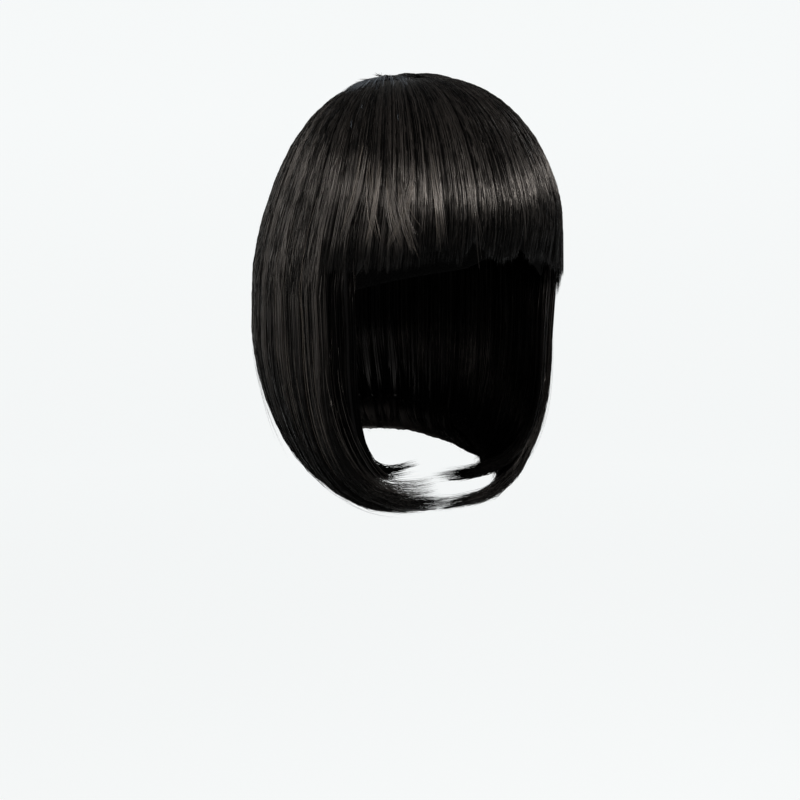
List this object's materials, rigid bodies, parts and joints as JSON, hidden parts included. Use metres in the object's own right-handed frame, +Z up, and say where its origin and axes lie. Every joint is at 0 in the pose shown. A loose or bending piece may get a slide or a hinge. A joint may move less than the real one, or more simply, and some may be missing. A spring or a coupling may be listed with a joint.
{
  "type": "bob wig",
  "caption": "Chin-length straight bob wig with a full fringe, a crown whorl and tips curled in under the jaw, on a close foundation cap.",
  "frame": {"origin": "the inside of the foundation cap's top, where it sits on the top of the wearer's head, on the wig's mid-plane", "axes": "+Z up, the wearer faces -Y, the wearer's left is +X"},
  "size_m": [0.1884, 0.2243, 0.2732],
  "materials": {
    "hair": "smooth straight synthetic fibre with a soft band of sheen, off-black",
    "under_hair": "the same fibre in shade, off-black",
    "cap_net": "matt stretch net with sewn wefts, black"
  },
  "bodies": {
    "root": {"foundation_cap": "cap_net", "crown_whorl": "hair", "fringe": "hair", "right_side_hair": "hair", "left_side_hair": "hair", "back_hair": "hair", "right_under_hair": "under_hair", "left_under_hair": "under_hair", "nape_under_hair": "under_hair"}
  },
  "joints": []
}
